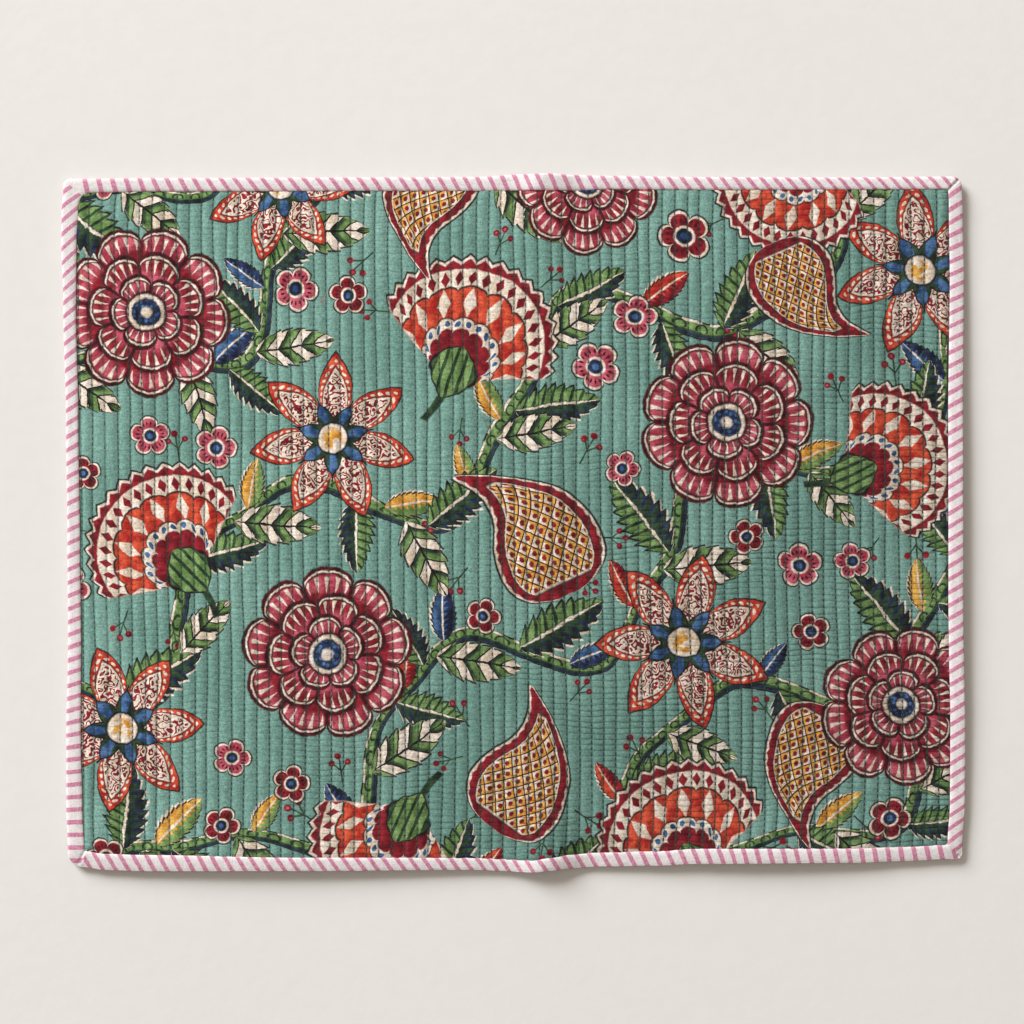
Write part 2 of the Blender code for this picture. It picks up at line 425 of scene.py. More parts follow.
# The print: a trailing floral of common block-print motifs. Places and sizes in millimetres.
printLayout = {
    # x, y, radius, turn in degrees
    "dahlias": [
        (-186, 108, 45, 12), (-96, -66, 46, 70), (108, 50, 46, 20), (196, -96, 43, 55), (38, 172, 38, 5),
    ],
    "fans": [
        (-178, -8, 42, 38), (-22, 96, 44, -25), (190, 30, 40, -70), (-64, -166, 42, 150), (84, -160, 42, 20),
        (140, 170, 38, 160),
    ],
    "stars": [
        (-92, 44, 44, 10), (-200, -104, 44, 30), (86, -62, 47, 0), (206, 128, 46, 18), (-118, 172, 40, 25),
    ],
    "paisleys": [
        (6, 2, 40, 24), (-46, 160, 34, 150), (150, 112, 32, 205), (8, -120, 36, -35), (146, -132, 34, 150),
    ],
    # trailing stems: start x, start y, heading, swing, wavelength, phase, half width
    "vines": [
        (-262, 40, 33, 26, 178, 0.2, 3.6),
        (-262, -92, 30, 30, 190, 2.6, 3.9),
        (-190, -196, 34, 27, 172, 0.9, 3.5),
        (-40, -205, 33, 25, 184, 2.2, 3.8),
        (84, -206, 36, 22, 168, 0.4, 3.3),
        (-252, 142, 28, 18, 160, 1.0, 3.3),
    ],
    "vineLength": 560,
    # how long the half of each leaf is, how tall it is against its length, and their order on a stem
    "leafHalves": {"chevronLeaves": (18, 23), "toothedLeaves": (17, 25), "smallLeaves": (11, 17)},
    "leafTall": {"chevronLeaves": 0.5, "toothedLeaves": 0.48, "smallLeaves": 0.46},
    "leafCycle": [
        "toothedLeaves", "chevronLeaves", "smallLeaves", "toothedLeaves", "smallLeaves", "chevronLeaves",
    ],
    "leafStep": 15,
    "leafAngle": 50,
    "leafAngleVaries": 16,
    "blossoms": {"count": 22, "size": (10, 15), "tries": 9000},
    "sprigs": {"spokes": 11, "spread": 33, "size": (7.5, 9.5)},
    "seed": 23,
}


def vinePoints(vine):  # a swinging stem, a point each millimetre: x, y, along, half width
    startX, startY, heading, swing, wavelength, phase, halfWidth = vine
    along = np.arange(0, printLayout["vineLength"], 1.0)
    side = swing * np.sin(2 * np.pi * along / wavelength + phase)
    side = side + 0.25 * swing * np.sin(2 * np.pi * along / (wavelength * 0.43) + 2 * phase)
    turn = math.radians(heading)
    x = startX + along * math.cos(turn) - side * math.sin(turn)
    y = startY + along * math.sin(turn) + side * math.cos(turn)
    width = halfWidth * (1 + 0.16 * np.sin(along / 17.0 + phase))
    return np.stack([x, y, along, width], axis=-1)


def insideMat(x, y, margin=12):
    return abs(x) < mat["halfWidth"] + margin and abs(y) < mat["halfDepth"] + margin


def farFrom(x, y, others, gap, share=1.0):
    return all(math.hypot(x - other[0], y - other[1]) > gap + share * other[2] for other in others)


def growLeaves(rng, vines, bigOnes):  # leaves on alternate sides of each stem
    cycle, step = printLayout["leafCycle"], printLayout["leafStep"]
    kinds = {kind: [] for kind in printLayout["leafHalves"]}
    count = 0
    for vine in vines:
        for start in range(8, len(vine) - 20, step):
            for side in (1, -1):
                place = start + (0 if side > 0 else step // 2)
                if place + 1 >= len(vine):
                    continue
                kind = cycle[count % len(cycle)]
                count += 1
                ahead = vine[place + 1, :2] - vine[place, :2]
                varies = rng.uniform(-1, 1) * printLayout["leafAngleVaries"]
                heading = math.atan2(ahead[1], ahead[0])
                heading += side * math.radians(printLayout["leafAngle"] + varies)
                half = rng.uniform(*printLayout["leafHalves"][kind])
                reach = vine[place, 3] * 0.7 + half * 0.94
                x = vine[place, 0] + reach * math.cos(heading)
                y = vine[place, 1] + reach * math.sin(heading)
                same = kinds[kind]
                others = [leaf for leaves in kinds.values() for leaf in leaves]
                if not insideMat(x, y) or not farFrom(x, y, bigOnes, 0, 0.72):
                    continue
                if not farFrom(x, y, same, half + 4) or not farFrom(x, y, others, half * 0.35, 0.4):
                    continue
                same.append((x, y, half, math.degrees(heading)))
    return kinds


def scatterBlossoms(rng, openGround):  # small flowers thrown into the open ground
    plan, found = printLayout["blossoms"], []
    for _ in range(plan["tries"]):
        x = rng.uniform(-mat["halfWidth"], mat["halfWidth"])
        y = rng.uniform(-mat["halfDepth"], mat["halfDepth"])
        radius = rng.uniform(*plan["size"])
        if len(found) < plan["count"] and farFrom(x, y, found, radius + 3) and openGround(x, y, radius):
            found.append((x, y, radius, rng.uniform(0, 360)))
    return found


def growSprigs(rng, crowns, bigOnes, leaves):  # berries on forked stalks, standing round the big flowers
    plan, sprigs = printLayout["sprigs"], []
    for cx, cy, radius, _ in crowns:
        first = rng.uniform(0, 30)
        for spoke in range(plan["spokes"]):
            angle = math.radians(first + spoke * plan["spread"] + rng.uniform(-5, 5))
            size = rng.uniform(*plan["size"])
            x = cx + (radius * 0.97 + size * 0.9) * math.cos(angle)
            y = cy + (radius * 0.97 + size * 0.9) * math.sin(angle)
            clear = farFrom(x, y, sprigs, size + 2.5) and farFrom(x, y, leaves, size * 0.6, 0.5)
            if clear and insideMat(x, y) and farFrom(x, y, bigOnes, size * 0.55, 0.96):
                sprigs.append((x, y, size, math.degrees(angle) + rng.uniform(-20, 20)))
    return sprigs


def layOutPrint():
    rng = random.Random(printLayout["seed"])
    vines = [vinePoints(vine) for vine in printLayout["vines"]]
    bigKinds = {kind: printLayout[kind] for kind in ("dahlias", "fans", "stars", "paisleys")}
    bigOnes = [motif for motifs in bigKinds.values() for motif in motifs]
    leafKinds = growLeaves(rng, vines, bigOnes)
    leaves = [leaf for kind in leafKinds.values() for leaf in kind]

    def openGround(x, y, radius):
        return farFrom(x, y, bigOnes, radius + 2, 0.95) and farFrom(x, y, leaves, radius, 0.55)

    blossoms = scatterBlossoms(rng, openGround)
    crowns = printLayout["fans"] + printLayout["paisleys"]
    sprigs = growSprigs(rng, crowns, bigOnes, leaves + blossoms)
    return vines, {**bigKinds, **leafKinds, "blossoms": blossoms, "sprigs": sprigs}


farAway = 9.0  # what the back and the open ground carry


def nearestMotif(plan, motifs, tall, rng):  # local x, local y, distance and chance number of the nearest
    best = np.full((len(plan), 4), farAway)
    for cx, cy, radius, turn in motifs:
        turn = math.radians(turn)
        dx, dy = (plan[:, 0] - cx) / radius, (plan[:, 1] - cy) / radius
        localX = dx * math.cos(turn) + dy * math.sin(turn)
        localY = dy * math.cos(turn) - dx * math.sin(turn)
        distance = np.hypot(localX, localY / tall)
        mine = distance < best[:, 2]
        chance = np.full(len(plan), rng.random())
        best[mine] = np.stack([localX, localY, distance, chance], axis=-1)[mine]
    return best


def nearestStem(plan, runs):  # across in half widths, along, and distance in half widths
    points = np.concatenate(runs)
    steps = np.concatenate([np.gradient(run[:, :2], axis=0) for run in runs])
    steps /= np.linalg.norm(steps, axis=1)[:, None]
    tree = kdtree.KDTree(len(points))
    for index, point in enumerate(points):
        tree.insert((point[0], point[1], 0.0), index)
    tree.balance()
    found = np.array([tree.find((x, y, 0.0))[1] for x, y in plan])
    away = plan - points[found, :2]
    step = steps[found]
    across = step[:, 0] * away[:, 1] - step[:, 1] * away[:, 0]
    along = points[found, 2] + (step * away).sum(axis=1)
    width = points[found, 3]
    return np.stack([across / width, along, np.linalg.norm(away, axis=1) / width], axis=-1)


def markPrint(mesh, plan, onFace):
    vines, motifs = layOutPrint()
    rng = random.Random(printLayout["seed"] + 1)

    def mark(kind, found):
        values = np.full((len(plan), 4), farAway)
        values[onFace, :found.shape[1]] = found
        writeAttribute(mesh, kind, "FLOAT_COLOR", values)

    for kind, places in motifs.items():
        mark(kind, nearestMotif(plan[onFace], places, printLayout["leafTall"].get(kind, 1.0), rng))
    mark("vines", nearestStem(plan[onFace], vines))
    return {kind: len(places) for kind, places in motifs.items()}


# Inks of the print as they lie on the cloth: where the block left much ink, and where it left little.
inks = {
    "crimson": (ink(100, 12, 26), ink(146, 28, 40)),
    "maroon": (ink(50, 8, 16), ink(82, 16, 26)),
    "rose": (ink(158, 48, 70), ink(200, 96, 112)),
    "cream": (ink(214, 196, 174), ink(236, 224, 210)),
    "orange": (ink(168, 36, 28), ink(214, 86, 56)),
    "green": (ink(92, 124, 66), ink(128, 158, 98)),
    "deepGreen": (ink(22, 38, 28), ink(52, 78, 48)),
    "navy": (ink(16, 20, 40), ink(38, 48, 84)),
    "blue": (ink(36, 66, 110), ink(80, 116, 160)),
    "mustard": (ink(200, 134, 42), ink(226, 176, 84)),
    "line": (ink(16, 12, 14), ink(36, 26, 28)),
}


class Brush:  # what every motif is drawn with: the unsteady hand and the uneven inks
    def __init__(self, place):
        self.place = place
        fine = noiseAt(place, 240.0, out=1)
        slow = noiseAt(place, 34.0, 1.0, out=1)
        self.sway = [(a - 0.5) + (b - 0.5) * 3.2 for a, b in zip(fine.parts()[:2], slow.parts()[:2])]
        self.rag = noiseAt(place, 520.0) - 0.5
        self.blotch = noiseAt(place, 200.0, 1.5)
        much = noiseAt(place, 170.0).ramp(0.36, 0.64)
        self.inks = {name: mixColour(much, *pair) for name, pair in inks.items()}


class Motif:  # the local frame of the nearest motif of one kind, as signals
    def __init__(self, brush, kind, sway, reach=1.15, soft=0.02):
        self.inks = brush.inks
        colour = brush.place.make("ShaderNodeAttribute", {"attribute_name": kind})
        self.chance = Signal(colour.socket.node.outputs["Alpha"])
        x, y, distance = Signal(colour.socket.node.outputs["Color"]).parts()
        self.x = x + brush.sway[0] * sway
        self.y = y + brush.sway[1] * sway
        self.near = distance.under(reach, soft)

    def either(self, limit, some, others):  # one ink for some of the motifs, another for the rest
        return mixColour(self.chance > limit, self.inks.get(some, some), self.inks.get(others, others))

    def paint(self, cloth, layers):  # lays (mask, ink) over the cloth, the last on top, only near the motif
        colour = cloth
        for mask, over in layers:
            colour = mixColour(mask, colour, self.inks.get(over, over))
        return mixColour(self.near, cloth, colour)

    def polar(self, shiftY=0.0):
        y = self.y - shiftY
        return (self.x * self.x + y * y).root(), self.x.maths("ARCTAN2", y, self.x) / (2 * math.pi)

    def gapTo(self, ax, ay, bx, by):  # distance to a straight stroke
        long = (bx - ax) ** 2 + (by - ay) ** 2
        x, y = self.x - ax, self.y - ay
        share = ((x * (bx - ax) + y * (by - ay)) / long).most(0.0).least(1.0)
        return ((x - share * (bx - ax)) ** 2 + (y - share * (by - ay)) ** 2).root()


def held(limit, layers):  # the same layers, kept inside one more mask
    return [(limit * mask, over) for mask, over in layers]


def rings(radius, rows):  # discs of ink, one within another: edge, softness, ink
    return [(radius.under(edge, soft), over) for edge, soft, over in rows]


def petalWave(turn, count, shift):  # -1 to 1 across each petal, and its round shoulder
    across = ((turn * count + shift).fract() - 0.5) * 2
    return across, (1 - across * across).most(0.0).root()


def dahlia(cloth, brush):
    motif = Motif(brush, "dahlias", 0.030)
    radius, turn = motif.polar()
    radius = radius + brush.rag * 0.026
    rows = [
        # petals, shift, inner reach, shoulder, body, flush, where the cream strokes lie
        (9, 0.0, 0.78, 0.19, "crimson", "rose", 0.77),
        (7, 0.37, 0.53, 0.16, "rose", "crimson", 0.52),
        (5, 0.11, 0.31, 0.13, "maroon", "rose", 0.31),
    ]
    layers = []
    for count, shift, reach, shoulder, body, flush, strokeAt in rows:
        across, shoulderCurve = petalWave(turn, count, shift)
        edge = reach + shoulder * shoulderCurve
        climb = (radius - strokeAt) / 0.085
        stroke = abs((turn * count * 5 + shift).fract() - 0.5).under(0.13 + climb * 0.10, 0.05)
        glow = (radius - strokeAt + 0.13).ramp(0.0, 0.09) * (1 - abs(climb - 0.2) * 0.4)
        layers += rings(radius, [
            (edge, inkEdge, "maroon"), (edge - 0.046, 0.008, "cream"), (edge - 0.066, 0.010, "maroon"),
            (edge - 0.088, inkEdge, body),
        ]) + held(radius.under(edge - 0.088), [
            (glow, flush),
            (stroke * abs(climb).under(1.0, 0.15), "cream"),
        ]) + [(abs(across).over(0.90, 0.05) * radius.under(edge - 0.02, 0.01), "maroon")]
    speck = brush.place.make(
        "ShaderNodeTexVoronoi", {"voronoi_dimensions": "2D"},
        {"Vector": brush.place, "Scale": 360.0, "Randomness": 0.8},
    )
    return motif.paint(cloth, layers + rings(radius, [
        (0.235, 0.014, "maroon"), (0.205, 0.014, "cream"), (0.165, 0.014, "navy"),
    ]) + [
        (radius.under(0.145, 0.014) * speck.under(0.33, 0.08), "blue"),
        (radius.under(0.06, 0.02), "cream"),
    ])


def fan(cloth, brush):
    motif = Motif(brush, "fans", 0.026)
    radius, turn = motif.polar(-0.62)
    radius = radius + brush.rag * 0.02
    side = ((turn - 0.25) * 2 * math.pi) / 1.10  # -1 to 1 from edge to edge of the spread flower
    tooth = abs((side * 8.5 + 0.5).fract() - 0.5) * 2
    reach = 1.52 - 0.34 * side * side
    spread = abs(side).under(1.0, 0.015)
    across, shoulderCurve = petalWave(side, 3.5, 0.0)
    drop = abs((side * 8.5).fract() - 0.5) * 1.9 + abs(radius - reach + 0.26) * 7.0
    scallop = reach - 0.44 + 0.07 * shoulderCurve
    flame = abs(across) + abs(radius - scallop + 0.17) * 3.0
    bead = (abs((side * 6.5).fract() - 0.5) / 0.26) ** 2 + ((radius - scallop + 0.41) / 0.036) ** 2
    rib = abs((motif.x * 9 + 0.5).fract() - 0.5)
    calyx = abs(motif.x) - (0.23 - (motif.y + 0.46) ** 2 * 2.2) * (1 + rib * 0.3)
    low = motif.y.under(-0.15, 0.02)
    stripe = abs((motif.x * 9 + motif.y).fract() - 0.5).under(0.17, 0.05)
    stalk = abs(motif.x + (motif.y + 0.7) ** 2 * 0.5).under(0.045)
    stalk = stalk * motif.y.under(-0.66, 0.02) * motif.y.over(-1.12, 0.01)
    petals = rings(radius, [
        (reach - 0.07 * tooth + 0.03, inkEdge, "line"),
        (reach - 0.07 * tooth, inkEdge, "cream"),
        (reach - 0.035 - 0.07 * tooth, inkEdge, "crimson"),
        (reach - 0.155, inkEdge, "cream"),
    ]) + [(drop.under(0.62, 0.09), "crimson")]
    heart = rings(radius, [(scallop + 0.03, inkEdge, "line"), (scallop + 0.005, inkEdge, "orange")])
    heart += [(flame.under(0.52, 0.06), "cream")]
    heart += rings(radius, [(scallop - 0.33, inkEdge, "line"), (scallop - 0.35, inkEdge, "cream")])
    heart += [(bead.under(1.0, 0.2), "blue"), (radius.under(scallop - 0.47), "crimson")]
    return motif.paint(cloth, [(stalk, "deepGreen")] + held(spread, petals + heart) + held(low, [
        (calyx.under(0.03), "line"),
        (calyx.under(0.0), "green"),
        (calyx.under(0.0) * stripe, "deepGreen"),
    ]))


def star(cloth, brush):
    motif = Motif(brush, "stars", 0.030)
    radius, turn = motif.polar()
    radius = radius + brush.rag * 0.02
    across, _ = petalWave(turn, 7, 0.0)
    point = 0.30 + 0.66 * (1 - abs(across)).most(0.0) ** 0.62
    inner = point - 0.15
    bead = (((radius * 14).fract() - 0.5) / 0.30) ** 2 + ((point - 0.082 - radius) / 0.030) ** 2
    small, _ = petalWave(turn, 7, 0.5)
    sepal = 0.24 + 0.20 * (1 - abs(small)).most(0.0)
    curl = (brush.blotch * 7.0).fract()
    return motif.paint(cloth, [
        (radius.under(point + 0.025), "line"),
        (radius.under(point), "orange"),
        (bead.under(1.0, 0.3) * radius.over(0.34, 0.02), "cream"),
        (radius.under(inner + 0.022), "maroon"),
        (radius.under(inner), "cream"),
        (radius.under(inner - 0.035) * abs(curl - 0.5).under(0.24, 0.06), "crimson"),
        (abs(across).over(0.955, 0.02) * radius.under(0.5, 0.02), "line"),
        (radius.under(sepal), "line"),
        (radius.under(sepal - 0.03), "deepGreen"),
        (radius.under(sepal - 0.03) * abs(small).under(0.42, 0.08), "blue"),
        (radius.under(0.19), "line"),
        (radius.under(0.165), "cream"),
        (radius.under(0.115, 0.03) * brush.blotch.under(0.52, 0.03), "mustard"),
    ])


def paisley(cloth, brush):
    motif = Motif(brush, "paisleys", 0.022)
    along = motif.y + 0.12
    bent = motif.x + 0.95 * (along - 0.12).most(0.0) ** 2 - 0.10
    half = (1 - along * along).most(0.0).root() * (0.60 - 0.40 * along) + brush.rag * 0.02
    gap = abs(bent) - half
    body = abs(along).under(0.985, 0.01)
    cellA = ((bent * 5.6 + along * 4.6).fract() - 0.5)
    cellB = ((bent * 5.6 - along * 4.6).fract() - 0.5)
    seed = (cellA * cellA + cellB * cellB).root() + brush.rag * 0.12
    lattice = abs(cellA).most(abs(cellB)) + brush.rag * 0.06
    scallop = abs((along * 7).fract() - 0.5)
    middle = abs(along + 0.05)
    return motif.paint(cloth, held(body, [
        (gap.under(0.03), "line"),
        (gap.under(0.0), "cream"),
        (gap.under(-0.02 - 0.05 * scallop), "crimson"),
    ]) + [
        (gap.under(-0.135, 0.01) * middle.under(0.78, 0.02), "line"),
        (gap.under(-0.15, 0.01) * middle.under(0.76, 0.02), "cream"),
    ] + held(gap.under(-0.165, 0.01) * middle.under(0.74, 0.02), [
        ((cellA + cellB).over(-0.05, 0.10), "mustard"),
        (seed.under(0.24, 0.05), "crimson"),
        (lattice.over(0.44, 0.02), "maroon"),
    ]))


def leafBody(motif, tall, teeth=0.0, count=6.5):  # place along the leaf, share across, and where it is
    along = motif.x
    half = tall * (1 - along * along).most(0.0) ** 0.72 * (1 - 0.24 * along)
    if teeth:
        half = half * (1 + teeth * ((along * count).fract() - 0.6))
    return along, motif.y / half.most(0.001), abs(along).under(0.985, 0.01)


def chevronLeaf(cloth, brush):
    motif = Motif(brush, "chevronLeaves", 0.050)
    along, across, within = leafBody(motif, 0.47, 0.16, 3.4)
    across = across + brush.rag * 0.10
    bar = (along * 1.7 - abs(across) * 0.62 + motif.chance).fract()
    core = within * abs(across).under(0.90, 0.04)
    return motif.paint(cloth, [(within * abs(across).under(1.0, 0.04), "line"), (core, "cream")] + held(core, [
        (bar.under(0.5, 0.03), "green"),
        (bar.under(0.20, 0.10) * abs(across).under(0.8, 0.1), "deepGreen"),
        ((0.5 - abs(bar - 0.5)).under(0.040), "line"),
        (abs(bar - 0.5).under(0.040), "line"),
        (abs(across).under(0.06, 0.02), "line"),
    ]))


def toothedLeaf(cloth, brush):
    motif = Motif(brush, "toothedLeaves", 0.055)
    along, across, within = leafBody(motif, 0.46, 0.34, 4.5)
    across = across + brush.rag * 0.16
    vein = (along * 4.5 - abs(across) * 0.9).fract()
    core = within * abs(across).under(0.88, 0.05)
    return motif.paint(cloth, held(within, [
        (abs(across).under(1.12, 0.04) * across.under(0.1, 0.1), "cream"),
        (abs(across).under(1.0, 0.04), "line"),
    ]) + [(core, "deepGreen")] + held(core, [
        (across.over(0.12, 0.03) * vein.over(0.36, 0.10), "green"),
        (across.under(-0.30, 0.2) * vein.under(0.45, 0.12), "navy"),
        (abs(across).under(0.07, 0.03), "cream"),
    ]))


def smallLeaf(cloth, brush):
    motif = Motif(brush, "smallLeaves", 0.06)
    along, across, within = leafBody(motif, 0.44, 0.18, 5.0)
    across = across + brush.rag * 0.16
    core = within * abs(across).under(0.86, 0.05)
    shade = motif.either(0.66, motif.either(0.34, "mustard", "blue"), "orange")
    dark = motif.either(0.66, motif.either(0.34, "green", "navy"), "crimson")
    return motif.paint(cloth, held(within, [
        (abs(across).under(1.16, 0.05) * across.over(-0.1, 0.1), "cream"),
        (abs(across).under(1.0, 0.05), "line"),
    ]) + [(core, shade)] + held(core, [
        ((across + (along * 5.0).fract() * 0.5).under(0.10, 0.12), dark),
        (abs(across - 0.1).under(0.08, 0.04), "cream"),
    ]))


def blossom(cloth, brush):
    motif = Motif(brush, "blossoms", 0.08)
    radius, turn = motif.polar()
    radius = radius + brush.rag * 0.06
    _, shoulderCurve = petalWave(turn, 5, 0.0)
    edge = 0.58 + 0.38 * shoulderCurve
    body = motif.either(0.5, "rose", "crimson")
    fleck = abs((turn * 20).fract() - 0.5) + abs(radius - 0.56) * 2.2
    return motif.paint(cloth, rings(radius, [
        (edge, 0.03, "line"), (edge - 0.07, 0.03, "cream"), (edge - 0.16, 0.03, body),
    ]) + [(radius.under(edge - 0.2, 0.03) * fleck.under(0.26, 0.06), "maroon")] + rings(radius, [
        (0.36, 0.03, "cream"), (0.27, 0.03, "navy"), (0.12, 0.03, "blue"),
    ]))


def sprig(cloth, brush):
    motif = Motif(brush, "sprigs", 0.10)
    heads = [(0.80, 0.05, 0.21), (0.42, 0.50, 0.20), (0.36, -0.50, 0.19)]
    stalk = motif.gapTo(-0.9, 0.1, 0.7, 0.0).least(motif.gapTo(-0.1, 0.05, 0.42, 0.45))
    stalk = stalk.least(motif.gapTo(-0.2, 0.05, 0.36, -0.45))
    ball = None
    for x, y, radius in heads:
        gap = ((motif.x - x) ** 2 + (motif.y - y) ** 2).root() - radius
        ball = gap if ball is None else ball.least(gap)
    return motif.paint(cloth, [
        (stalk.under(0.045, 0.03), "deepGreen"),
        (ball.under(0.0, 0.04), "crimson"),
        (ball.under(-0.12, 0.03) * brush.blotch.over(0.5, 0.04), "rose"),
    ])


def stem(cloth, brush):
    motif = Motif(brush, "vines", 0.30, 1.35, 0.05)
    across, along = motif.x + brush.rag * 0.2, motif.y
    core = abs(across).under(0.80, 0.06)
    curl = ((along / 8.0).fract() - 0.5)
    hook = ((curl / 0.26) ** 2 + ((across - 0.1) / 0.5) ** 2).root()
    return motif.paint(cloth, [(abs(across).under(1.0, 0.06), "line"), (core, "green")] + held(core, [
        (across.under(-0.22, 0.12), "deepGreen"),
        (across.under(-0.52, 0.08), "navy"),
        (abs(hook - 1.0).under(0.22, 0.08) * across.over(-0.15, 0.05), "deepGreen"),
    ]) + [(abs(across - 0.80).under(0.13, 0.05) * (along / 11.0).fract().under(0.66, 0.05), "cream")])


# The cottons: colours, and how deep threads and creases stand (in metres).
cotton = {
    "ground": (ink(109, 149, 138), ink(123, 163, 152)),
    "shade": ink(34, 54, 48),
    "channelShade": 0.50,
    "creaseShade": 0.38,
    "creaseDepth": 0.00028,
    "creasesPerMetre": 330.0,
    "threadHeight": 0.00007,
    "grainHeight": 0.00004,
    "broadHeight": 0.00010,
    "nearRight": (2.4, -2.0, 0.45),  # a slope per metre along x and y, and its value at the middle
    # painted light and shade: the face's colour is lifted towards the far left and darkened towards the near
    # right
    "paintedLightFalloff": (1.19, 0.88),  # at the far left and at the near right
    "back": (ink(92, 130, 116), ink(116, 154, 138)),
    "backThread": ink(38, 62, 54),
    "backCreaseDepth": 0.00012,
    "backStitchesPerMetre": 370,
    "sheen": 0.10,
    "sheenRoughness": 0.5,
    "shine": 0.25,
}


def weave(place, scale=300.0, long=9.0):  # threads each way, uneven along their length: 0.7 to 1.3
    return noiseAt(place, scale, stretch=(long, 1.0, 1.0)) + noiseAt(place, scale, stretch=(1.0, long, 1.0))


def bumped(place, height):
    return place.make("ShaderNodeBump", None, {"Strength": 1.0, "Distance": 1.0, "Height": height})


def nearRight(place, low, high):  # a share that grows towards the near right corner
    x, y, _ = place.parts()
    slopeX, slopeY, middle = cotton["nearRight"]
    return (x * slopeX + y * slopeY + middle).ramp(0.0, 1.0, low, high)


def puckers(place):  # fine creases across the channels, one to a stitch, deepest near right
    _, y, _ = place.parts()
    phase = y * cotton["creasesPerMetre"] + noiseAt(place, 30.0) * 2.2
    groove = (abs(phase.fract() - 0.5) * 2) ** 3
    patch = noiseAt(place, 26.0).ramp(0.32, 0.70, 0.15, 1.0)
    return groove * patch * nearRight(place, 0.35, 1.0)


def stitchShade(place, colour, low, high, depth):  # the cloth darkens into the lines of stitching
    fromLine = place.make("ShaderNodeAttribute", {"attribute_name": "fromLine"}, out=2)
    return fromLine, mixColour(fromLine.ramp(low, high, depth, 0.0), colour, cotton["shade"])


def printedCotton():
    material, shader, place = newMaterial("printedCotton")
    brush = Brush(place)
    threads, creases = weave(place), puckers(place)
    colour = mixColour(noiseAt(place, 16.0).ramp(0.35, 0.65), *cotton["ground"])
    for draw in (stem, sprig, smallLeaf, toothedLeaf, chevronLeaf, blossom, star, fan, paisley, dahlia):
        colour = draw(colour, brush)
    grain = noiseAt(place, 1100.0, 1.0)
    level = threads.ramp(0.75, 1.25, 0.82, 1.14) * grain.ramp(0.3, 0.7, 0.78, 1.14)
    # painted shade in the creases, and painted light and shade: lighter towards the far left, darker towards
    # the near right
    level = level * (1 - creases * cotton["creaseShade"]) * nearRight(place, *cotton["paintedLightFalloff"])
    grey = place.make("ShaderNodeCombineXYZ", None, {0: level, 1: level, 2: level})
    colour = mixColour(level.most(1.0), colour, grey, "MULTIPLY")
    _, colour = stitchShade(place, colour, 0.15, 1.0, cotton["channelShade"])
    broad = noiseAt(place, 1.0, stretch=(150.0, 330.0, 1.0)).ramp(0.3, 0.7)
    height = broad * cotton["broadHeight"] - creases * cotton["creaseDepth"]
    feed(shader, {
        "Base Color": colour,
        "Roughness": threads.ramp(0.75, 1.25, 0.92, 0.80),
        "Sheen Weight": cotton["sheen"],
        "Sheen Roughness": cotton["sheenRoughness"],
        "Specular IOR Level": cotton["shine"],
        "Normal": bumped(place, height + threads * cotton["threadHeight"] + grain * cotton["grainHeight"]),
    })
    return material


def backingCotton():
    material, shader, place = newMaterial("backingCotton")
    threads = weave(place)
    colour = mixColour(threads.ramp(0.75, 1.25), *cotton["back"])
    _, y, _ = place.parts()
    dash = abs((y * cotton["backStitchesPerMetre"]).fract() - 0.5).under(0.34, 0.03)
    fromLine, colour = stitchShade(place, colour, 0.0, 0.9, 0.45)
    height = threads * cotton["threadHeight"] - puckers(place) * cotton["backCreaseDepth"]
    feed(shader, {
        "Base Color": mixColour(fromLine.under(0.22, 0.05) * dash, colour, cotton["backThread"]),
        "Roughness": threads.ramp(0.75, 1.25, 0.93, 0.82),
        "Normal": bumped(place, height),
    })
    return material


def makePanel():
    mesh = quiltedPanelMesh()
    plan, onFace = shapePanel(mesh)
    counts = markPrint(mesh, plan, onFace)
    mesh.materials.append(printedCotton())
    mesh.materials.append(backingCotton())
    panel = addPiece("quiltedPanel", mesh)
    print("quilted panel:", len(mesh.polygons), "faces, print", counts)
    return panel


panel = makePanel()
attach(panel, "root")
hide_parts("quilted_panel")


# The thread: machine stitches along every line, sizes in millimetres.
stitching = {
    "length": 2.10,
    "gap": 0.93,
    "thick": 0.46,
    "tall": 0.40,
    "rise": 0.12,
    "edgeClear": 0.9,
    "faintKept": {2: 0.25, 41: 0.8},  # share of the stitches that still show on these lines
    "thread": (ink(30, 48, 42), ink(44, 66, 56)),
    "twistsPerMetre": 1500,
    "twistHeight": 0.00008,
    "seed": 3,
}


def stitchEnds():  # both ends of every stitch, where the cloth lies
    rng = np.random.default_rng(stitching["seed"])
    reach = mat["halfDepth"]
    fine = np.linspace(-reach, reach, 1400)
    lines = lineWander(fine)
    count = quilting["lines"]
    step = stitching["length"] + stitching["gap"]
    perLine = int(2 * reach / step)
    start = -reach + rng.uniform(0, step, (count, 1)) + np.arange(perLine) * step
    start = start + rng.uniform(-0.10, 0.10, start.shape)
    long = stitching["length"] * rng.uniform(0.88, 1.08, start.shape)
    ends = []
    for y in (start, start + long):
        x = np.array([np.interp(y[line], fine, lines[line]) for line in range(count)])
        z = faceHeight(x, y, np.zeros_like(x), range(count))
        ends.append(settle(x, y, z))
        inside = insideBinding(x, y)
    kept = np.array([stitching["faintKept"].get(line, 0.995) for line in range(count)])[:, None]
    shown = (inside > stitching["edgeClear"]) & (rng.random(start.shape) < kept)
    return ends[0][shown], ends[1][shown]


def stitchTemplate():
    bm = bmesh.new()
    bmesh.ops.create_uvsphere(bm, u_segments=4, v_segments=3, radius=0.5)
    corners = np.array([vert.co[:] for vert in bm.verts])
    faces = [[vert.index for vert in face.verts] for face in bm.faces]
    bm.free()
    return corners, faces


